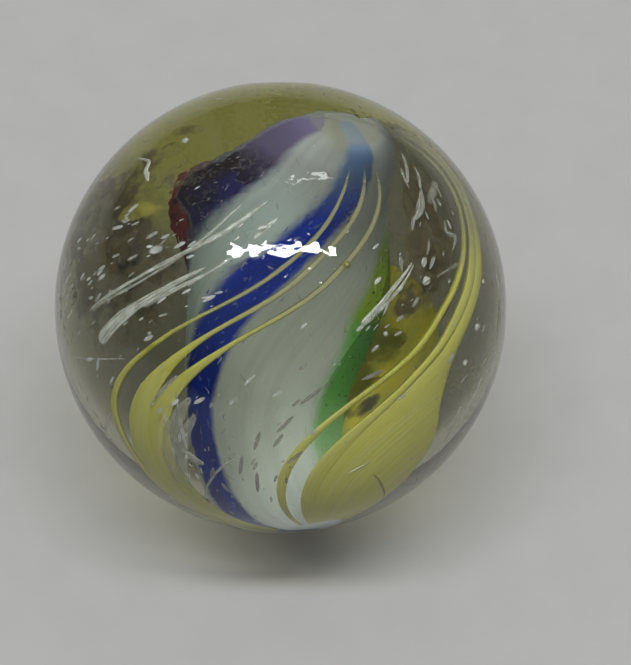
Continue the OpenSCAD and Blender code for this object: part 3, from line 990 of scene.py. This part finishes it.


# Slivers of air in the outer layer: angles, heights and widths at even steps along each, then
# how bright and how solid each is. Their brightness is painted silver reflection, and the
# least bright are dark brown marks
SLIVERS = (
    (
        (-59.6, -56, -55, -55.5, -59.2), (0.15, 1.85, 3.55, 5.25, 6.95),
        (0.09, 0.12, 0.13, 0.15, 0.1), 0.95, 0.75,
    ),
    ((-58.7, -54, -54, -57.7, -64.2), (0.2, 1.8, 3.4, 5, 6.6), (0.08, 0.1, 0.1, 0.1, 0.07), 0.8, 0.6),
    ((-48.3, -47.6, -46.1, -45.4), (-0.85, 0.3, 1.8, 3.65), (0.42, 0.36, 0.2, 0.1), 0.95, 0.75),
    ((-46.7, -48.3, -49.6), (5.45, 6.05, 6.6), (0.1, 0.14, 0.08), 1.0, 0.85),
    (
        (-110, -105, -100.5, -97, -93.5), (5.36, 5.66, 5.46, 5.38, 5.3),
        (0.05, 0.12, 0.16, 0.15, 0.08), 1.0, 0.85,
    ),
    ((-44.6, -43.4, -42.9, -44.2), (1.1, 2.3, 3.5, 4.65), (0.11, 0.14, 0.12, 0.08), 0.85, 0.65),
    ((-37.9, -39, -40), (3.4, 4, 4.5), (0.08, 0.1, 0.06), 0.15, 0.5),
    ((9.4, 8.1, 7.2, 8), (2.1, 3.2, 4.3, 5.4), (0.16, 0.14, 0.12, 0.08), 0.9, 0.75),
    ((10.6, 9.9, 9.5, 9.1), (1.8, 3, 4.1, 5.3), (0.1, 0.1, 0.1, 0.06), 0.75, 0.6),
    ((-18.9, -18, -17.2), (-3.2, -2.4, -1.6), (0.12, 0.16, 0.1), 0.7, 0.5),
    ((-14.4, -9, -5, -2), (-2.3, -3.4, -4.3, -5.1), (0.08, 0.1, 0.12, 0.12), 0.8, 0.6),
    ((-4, 0, 4.4), (-5, -5.5, -5.8), (0.18, 0.3, 0.16), 0.75, 0.55),
    ((-2, 5.6, 13.3, 17.8), (-7.3, -6.6, -5.8, -5.6), (0.06, 0.08, 0.08, 0.05), 0.8, 0.5),
    ((24, 23.6, 28.9, 27.1), (6.8, 6.35, 6, 5.5), (0.08, 0.12, 0.14, 0.06), 0.6, 0.55),
    ((22, 26.7, 31.5), (4.5, 4.7, 4.85), (0.08, 0.1, 0.08), 0.6, 0.5),
    ((-42, -38.5, -35), (-4.6, -4.1, -3.6), (0.1, 0.14, 0.08), 0.8, 0.5),
    ((-60, -48, -36), (-1.8, -1.6, -1.25), (0.03, 0.05, 0.03), 0.9, 0.6),
    ((74, 88, 104), (-7, -7.7, -8.3), (0.05, 0.08, 0.04), 0.05, 0.7),
    # A painted glint: a short bright needle that stands for a spark of reflected light
    ((62, 65, 68), (-6.9, -6.6, -6.3), (0.04, 0.08, 0.03), 1.0, 0.95),
    ((97, 90, 83), (-6.1, -4.8, -3.5), (0.1, 0.2, 0.1), 0.6, 0.35),
    ((92, 87, 82), (-4.4, -3.2, -2), (0.08, 0.12, 0.08), 0.6, 0.35),
    ((27, 19.5, 11, 8), (8.8, 8.65, 8.4, 8.25), (0.06, 0.12, 0.12, 0.05), 0.6, 0.6),
    ((25, 20, 15.3), (8.5, 8.25, 8), (0.05, 0.13, 0.1), 0.6, 0.6),
    ((16, 12.3, 9.6, 5), (8, 7.7, 7.45, 7.1), (0.08, 0.24, 0.3, 0.06), 0.6, 0.6),
    ((5.5, 4.3, 3.9), (7.3, 7.05, 6.75), (0.05, 0.13, 0.05), 0.65, 0.65),
    ((11, 8, 6.9, 7), (8.6, 8.5, 8.25, 8.1), (0.05, 0.1, 0.08, 0.04), 0.55, 0.55),
    ((13.4, 13.5, 13.6), (6.3, 6, 5.6), (0.05, 0.12, 0.04), 0.6, 0.55),
    ((13.1, 13.4, 13.7), (5.55, 5.35, 5.1), (0.12, 0.2, 0.08), 0.7, 0.7),
    ((17.5, 17.2, 17), (5.5, 5.25, 4.95), (0.08, 0.14, 0.06), 0.7, 0.7),
    ((17.4, 18.2, 19.4), (4.25, 4.4, 4.45), (0.1, 0.26, 0.08), 0.95, 0.85),
    ((1.6, 3.4, 5.9), (5.75, 5.45, 5), (0.05, 0.14, 0.06), 0.6, 0.5),
    ((-9.5, -9, -8.6), (-6.6, -4.6, -2.6), (0.3, 0.55, 0.2), 0.6, 0.45),
    ((-6, -4.5, -3.6), (-6.9, -5.4, -3.4), (0.2, 0.4, 0.2), 0.65, 0.4),
)

# Bubbles: angle, height, width in mm, then how bright, how warm and how solid each is. Their
# brightness is painted silver reflection
BUBBLES = (
    (-111.5, 6.9, 0.3, 0.95, 0.1, 0.8),
    (-35.1, 0.1, 0.2, 0.6, 0.0, 0.5),
    (55.2, 1.2, 0.3, 0.95, 0.1, 0.6),
    (61.9, -0.8, 0.26, 0.95, 0.1, 0.6),
    (19.2, 1.6, 0.2, 0.9, 0.0, 0.7),
    (49, 3.5, 0.18, 0.9, 0.0, 0.7),
    (-15, 5.3, 0.3, 0.35, 0.9, 0.85),
)

# Bruises, thin plates: angle, height, length, width in mm, slant from the strands in degrees,
# then how bright, how warm and how solid each is. Their brightness is painted silver
# reflection, and the least bright are dark brown marks
BRUISES = (
    (-81, 4.45, 2.8, 0.9, 15, 0.55, 1.0, 0.3),
    (-106, 5.4, 1.1, 1.0, 0, 0.0, 0.3, 0.6),
    (-108, 6.2, 0.9, 0.6, 20, 0.0, 0.5, 0.6),
    (-119.6, 6.8, 1.1, 0.5, 10, 0.0, 0.6, 0.5),
    (-92, 6, 1.3, 1.1, 40, 0.05, 0.4, 0.55),
    (-84, 3.6, 1.6, 1.2, 30, 0.0, 0.4, 0.75),
    (-72, 3.2, 1.9, 1.5, 10, 0.0, 0.5, 0.7),
    (-62, 2.7, 1.8, 1.2, -20, 0.02, 0.4, 0.7),
    (-77, 1.4, 1.6, 1.2, 60, 0.05, 0.5, 0.6),
    (-68, 0.4, 1.6, 1.1, 0, 0.02, 0.4, 0.5),
    (-52, 1.8, 1.4, 0.8, 10, 0.0, 0.4, 0.65),
    (-40, 0.9, 1.2, 0.6, 0, 0.0, 0.4, 0.65),
    (-61.7, 3.6, 0.75, 0.4, 10, 0.9, 0.0, 0.6),
    (20, 5.9, 1.7, 1.1, 20, 0.0, 0.3, 0.65),
    (24, 4.1, 1.4, 0.7, 0, 0.0, 0.3, 0.7),
    (20, 3.1, 1.3, 0.7, 10, 0.0, 0.3, 0.7),
    (43.3, -2.9, 0.9, 0.45, 0, 0.0, 0.4, 0.8),
    (52.8, -4.1, 0.8, 0.4, 0, 0.0, 0.4, 0.7),
    (37.5, 2.4, 1.3, 0.22, 0, 0.0, 0.5, 0.8),
    (-84, 2.4, 4.8, 3.6, 20, 0.0, 0.4, 0.75),
    (-53, 1.1, 4.2, 2.8, 0, 0.0, 0.4, 0.7),
    (-100, 4.2, 3.0, 2.4, 0, 0.0, 0.4, 0.6),
    (18, 4.5, 2.8, 1.7, 0, 0.0, 0.4, 0.8),
    (14, 6.4, 3.4, 2.1, 0, 0.0, 0.4, 0.8),
    (19, 7.9, 2.2, 1.3, 0, 0.0, 0.35, 0.75),
    (6.5, 7.1, 1.8, 0.5, 0, 0.0, 0.35, 0.85),
    (23, 7.8, 1.5, 0.5, 60, 0.5, 0.1, 0.4),
)

# Where small flecks lie: angles from and to, heights from and to, how many, the most that their
# length in mm grows to, and how bright they are. Their brightness is painted silver reflection
FLECK_FIELDS = (
    (-180, 180, -8.2, 8.2, 120, 0.5, 0.8),
    (-86, -58, -0.5, 4.6, 66, 0.8, 0.85),
    (-58, -30, -2.5, 3, 34, 0.8, 0.8),
    (6, 30, 1.5, 7.8, 30, 0.6, 0.65),
    (45, 85, -5, 3, 16, 0.6, 0.7),
    (-16, 14, -7.5, -1, 22, 0.7, 0.95),
    (8, 40, -7.6, 0, 24, 1.7, 0.32),
)

# Places along a thread, its lift from the strands' depth, how much wider it is than listed, and
# the most that it is thick
THREAD_PLACES = 33
THREAD_LIFT = 0.1
THREAD_GROWTH = 1.35
THREAD_T = 0.12

BUBBLE_PLACES = 13
BUBBLE_SIDES = 16
BUBBLE_LIFT = 0.25

# Bruises less bright than this are grown, and lie behind the threads and strands. The others
# lie before them.
DARK = 0.3
DARK_GROWTH = 1.5
DARK_LIFT = -0.4
BRIGHT_LIFT = 0.3
BRUISE_PLACES = 21
BRUISE_SIDES = 24
BRUISE_T = 0.03

# The shortest and the widest that a fleck is, its width as a share of its length, its depth
# below the surface, and how far its slant strays in degrees
FLECK_SHORTEST = 0.14
FLECK_WIDEST = 0.16
FLECK_WIDTH = (0.14, 0.36)
FLECK_DEPTH = (0.3, 0.8)
FLECK_SLANT = 11
FLECK_PLACES = 7
FLECK_SIDES = 4

# The step in height, in mm, over which the strands' run is measured
STEP = 0.1


def make_threads(s):
    """Threads of air, each along the smooth path through its listed places."""
    t = np.linspace(-1, 1, THREAD_PLACES)
    rows = [[listed(values, t) for values in sliver[:3]] for sliver in SLIVERS]
    angles, heights, widths = np.moveaxis(np.array(rows), 1, 0)
    radius = s.ball_d / 2 - s.strand_depth + THREAD_LIFT
    widths = THREAD_GROWTH * widths * (1 - t ** 8) ** 0.5
    bright, solid = np.array([sliver[3:] for sliver in SLIVERS]).T
    values = {"bright": bright, "warm": 0 * bright + 0.1, "solid": solid, "streaky": 0 * bright + 1}
    paths = strand_place(s, angles, radius, heights)
    return make_slivers("air_threads", paths, widths, np.minimum(widths, THREAD_T), values)


def laid_down(s, angles, heights, radius, lengths, slants, rows):
    """Short paths centred at places of the outer layer, at a slant from the strands' run and
    bent to keep their distance from the ball's middle. Also gives the places along a path, from
    -1 to 1."""
    here = strand_place(s, angles, radius, heights)
    along = unit(strand_place(s, angles, radius, heights + STEP) - here)
    across = unit(np.cross(along, here))
    slants = np.radians(slants)[:, None]
    run = along * np.cos(slants) + across * np.sin(slants)
    t = np.linspace(-0.5, 0.5, rows)[:, None]
    paths = here[:, None] + t * lengths[:, None, None] * run[:, None]
    return unit(paths) * np.linalg.norm(here, axis=1)[:, None, None], 2 * t[:, 0]


def make_bubbles(s):
    """Round bubbles: each one's width follows a half circle over its length."""
    angles, heights, sizes, bright, warm, solid = np.array(BUBBLES, float).T
    radius = s.ball_d / 2 - s.strand_depth + BUBBLE_LIFT
    paths, t = laid_down(s, angles, heights, radius, sizes, 0 * sizes, BUBBLE_PLACES)
    widths = sizes[:, None] * np.sqrt(1 - t ** 2)
    values = {"bright": bright, "warm": warm, "solid": solid}
    return make_slivers("bubbles", paths, widths, widths, values, BUBBLE_SIDES)


def make_bruises(s):
    """Bruises: thin plates whose width follows a half circle over their length."""
    angles, heights, lengths, wide, slants, bright, warm, solid = np.array(BRUISES, float).T
    dark = bright < DARK
    grown = np.where(dark, DARK_GROWTH, 1)
    radius = s.ball_d / 2 - s.strand_depth + np.where(dark, DARK_LIFT, BRIGHT_LIFT)
    paths, t = laid_down(s, angles, heights, radius, lengths * grown, slants, BRUISE_PLACES)
    widths = (wide * grown)[:, None] * np.sqrt(1 - t ** 2)
    values = {"bright": bright, "warm": warm, "solid": solid, "mottled": dark}
    thin = np.full(widths.shape, BRUISE_T)
    return make_slivers("bruises", paths, widths, thin, values, BRUISE_SIDES, thin_rim=True)


def make_flecks(s):
    """Small flecks scattered through the outer layer: pointed blades along the strands' run,
    each slanted a little its own way."""
    draw = np.random.default_rng(11)
    fields = np.array(FLECK_FIELDS, float)
    fields = np.repeat(fields, fields[:, 4].astype(int), 0)
    angle_from, angle_to, low, high, _, most, light = fields.T
    count = len(fields)
    angles = draw.uniform(angle_from, angle_to)
    heights = draw.uniform(low, high)
    lengths = FLECK_SHORTEST + (most - FLECK_SHORTEST) * draw.uniform(0, 1, count) ** 1.5
    wide = np.minimum(lengths * draw.uniform(*FLECK_WIDTH, count), FLECK_WIDEST)
    radius = s.ball_d / 2 - draw.uniform(*FLECK_DEPTH, count)
    slants = draw.normal(0, FLECK_SLANT, count)
    paths, t = laid_down(s, angles, heights, radius, lengths, slants, FLECK_PLACES)
    values = {
        "bright": light * draw.uniform(0.75, 1.1, count),
        "warm": 0 * lengths,
        "solid": draw.uniform(0.3, 0.8, count),
    }
    widths = wide[:, None] * np.minimum(2.2 * (1 - np.abs(t)), 1)
    return make_slivers("flecks", paths, widths, 0.3 * widths, values, FLECK_SIDES)


# ---------------------------------------------------------------- operators

class MarbleOperator:
    """What the marble's operators share: undo, and the scene's sizes and colours."""

    bl_options = {"REGISTER", "UNDO"}

    @staticmethod
    def settings(context):
        scene = context.scene
        return in_mm(scene.ball_sizes), CoreSection(in_mm(scene.core_sizes)), scene.marble_colours


class MARBLE_OT_ball(MarbleOperator, bpy.types.Operator):
    """Make the clear ball with its worn flat"""

    bl_idname = "marble.ball"
    bl_label = "Clear ball"

    def execute(self, context):
        s, _, c = self.settings(context)
        finish_piece(make_ball(s), "clear_glass", clear_glass_material(c), "clear_glass")
        return {"FINISHED"}


class MARBLE_OT_core(MarbleOperator, bpy.types.Operator):
    """Make the white core"""

    bl_idname = "marble.core"
    bl_label = "White core"

    def execute(self, context):
        s, section, c = self.settings(context)
        material = core_glass_material("white_glass", c, section)
        finish_piece(make_core(s, section), "white_glass", material, "white_core")
        return {"FINISHED"}


class MARBLE_OT_stripes(MarbleOperator, bpy.types.Operator):
    """Make the blue and violet stripes, the red and green edges and the amber fin"""

    bl_idname = "marble.stripes"
    bl_label = "Coloured stripes"

    def execute(self, context):
        s, section, c = self.settings(context)
        parts = section.parts(ring_heights(s, CORE_RINGS))
        for name in ("blue", "violet", "red", "green"):
            node = name + ("_edge" if name in ("red", "green") else "_stripe")
            slot = name + "_glass"
            piece = make_stripe(s, section, node + "_glass", *parts[name])
            finish_piece(piece, slot, core_glass_material(slot, c, section), node)
        finish_piece(make_fin(s, section), "yellow_glass", amber_glass_material(c))
        return {"FINISHED"}


class MARBLE_OT_strands(MarbleOperator, bpy.types.Operator):
    """Make the yellow outer strands"""

    bl_idname = "marble.strands"
    bl_label = "Outer strands"

    def execute(self, context):
        s, _, c = self.settings(context)
        pale = yellow_glass_material("pale_yellow_glass", c, paling=1.0, light=1.0, top=8.75)
        deep = yellow_glass_material("yellow_glass", c, paling=0.0, light=1.08, top=8.9)
        materials = {"left_strands": pale, "right_strands": deep}
        materials["back_strands"] = olive_glass_material()
        for node, material in materials.items():
            finish_piece(make_strands(s, node), "yellow_glass", material, node)
        return {"FINISHED"}


class MARBLE_OT_inclusions(MarbleOperator, bpy.types.Operator):
    """Make the threads, bubbles, bruises and flecks in the clear glass"""

    bl_idname = "marble.inclusions"
    bl_label = "Air and marks"

    def execute(self, context):
        s, _, c = self.settings(context)
        material = inclusion_material(c)
        for make in (make_threads, make_bubbles, make_bruises, make_flecks):
            finish_piece(make(s), "clear_glass", material)
        return {"FINISHED"}


class MARBLE_OT_stage(MarbleOperator, bpy.types.Operator):
    """Make the floor, the lamps, the room light and the camera"""

    bl_idname = "marble.stage"
    bl_label = "Stage"

    def execute(self, context):
        scene, stage = context.scene, context.scene.marble_stage
        radius = scene.ball_sizes.ball_d / 2
        make_floor(stage, radius)
        make_lamp("strip_lamp", (0, -0.08, 0.4), (0.40, 0.032), 0, stage.strip)
        make_lamp("thin_lamp", (0.1, 0.21, 0.39), (0.15, 0.012), 46, stage.thin)
        scene.world = make_room(stage)
        scene.view_settings.view_transform = "Standard"
        make_camera(scene, stage, radius)
        return {"FINISHED"}


def make_floor(stage, drop):
    """A level plane under the ball, three metres across, of faintly mottled paper."""
    side = 1.5 / MM
    low = -drop / MM
    corners = [(-side, -side, low), (side, -side, low), (side, side, low), (-side, side, low)]
    floor = make_piece("floor", corners, [(0, 1, 2, 3)])
    n = Nodes.material("floor_paper")
    mottle = n.noise(n.place(), 400, 3.0)
    paper = n.mix(n.fade(mottle, 0.3, 0.7), shade(stage.floor, 0.97), stage.floor)
    floor.data.materials.append(n.finish(n.principled(Base_Color=paper, Roughness=0.9)))


def make_lamp(name, place, size, roll, power):
    """An oblong lamp aimed at the ball, its place and size given in metres, and its long side
    rolled out of level by some degrees."""
    lamp = bpy.data.lights.new(name, "AREA")
    lamp.shape = "RECTANGLE"
    lamp.size, lamp.size_y = size
    lamp.energy = power
    holder = bpy.data.objects.new(name, lamp)
    holder.location = place
    aim = (-Vector(place)).to_track_quat("-Z", "Y")
    holder.rotation_euler = (aim @ Quaternion((0, 0, 1), math.radians(roll))).to_euler()
    bpy.context.scene.collection.objects.link(holder)


def make_room(stage):
    """White light from all round, which grows from the horizon to near the ceiling."""
    n = Nodes(bpy.data.worlds.new("room"), "World")
    strength = n.ramp(n.height(n.place("Generated")), 0.0, 0.7, stage.room_low, stage.room_high)
    white = {"Color": (1, 1, 1), "Strength": strength}
    return n.finish(n.add("Background", white).outputs[0])


def make_camera(scene, stage, radius):
    """A camera above the front of the ball. Its lens is chosen so that the ball's outline
    has the given width, and its shift puts the ball's centre where it is wanted."""
    lens = bpy.data.cameras.new("camera")
    dot = math.tan(math.asin(radius / stage.distance)) / stage.ball_px
    lens.sensor_fit = "VERTICAL"
    lens.sensor_height = 36
    lens.lens = lens.sensor_height / (stage.picture_h * dot)
    lens.shift_x = (stage.picture_w / 2 - stage.centre_x) / stage.picture_h
    lens.shift_y = (stage.centre_y - stage.picture_h / 2) / stage.picture_h
    camera = bpy.data.objects.new("camera", lens)
    up = stage.elevation
    camera.location = (0, -stage.distance * math.cos(up), stage.distance * math.sin(up))
    camera.rotation_euler = (math.pi / 2 - up, 0, 0)
    scene.collection.objects.link(camera)
    scene.camera = camera


class MARBLE_PT_panel(bpy.types.Panel):
    """Lists the marble's settings and the operators that make it"""

    bl_idname = "MARBLE_PT_panel"
    bl_label = "Glass swirl marble"
    bl_space_type = "VIEW_3D"
    bl_region_type = "UI"
    bl_category = "Marble"

    def draw(self, context):
        column = self.layout.column()
        for name in SETTINGS:
            group = getattr(context.scene, name)
            for key in group.__annotations__:
                column.prop(group, key)
        for operator in OPERATORS:
            column.operator(operator.bl_idname)


SETTINGS = {
    "ball_sizes": BallSizes,
    "core_sizes": CoreSizes,
    "marble_colours": MarbleColours,
    "marble_stage": StageSettings,
}
OPERATORS = (
    MARBLE_OT_ball, MARBLE_OT_core, MARBLE_OT_stripes, MARBLE_OT_strands, MARBLE_OT_inclusions,
    MARBLE_OT_stage,
)
CLASSES = (*SETTINGS.values(), *OPERATORS, MARBLE_PT_panel)


def register():
    for cls in CLASSES:
        bpy.utils.register_class(cls)
    for name, group in SETTINGS.items():
        setattr(bpy.types.Scene, name, PointerProperty(type=group))


def unregister():
    for name in SETTINGS:
        delattr(bpy.types.Scene, name)
    for cls in reversed(CLASSES):
        bpy.utils.unregister_class(cls)


def main():
    register()
    for operator in OPERATORS:
        group, name = operator.bl_idname.split(".")
        getattr(getattr(bpy.ops, group), name)()


if __name__ == "__main__":
    main()
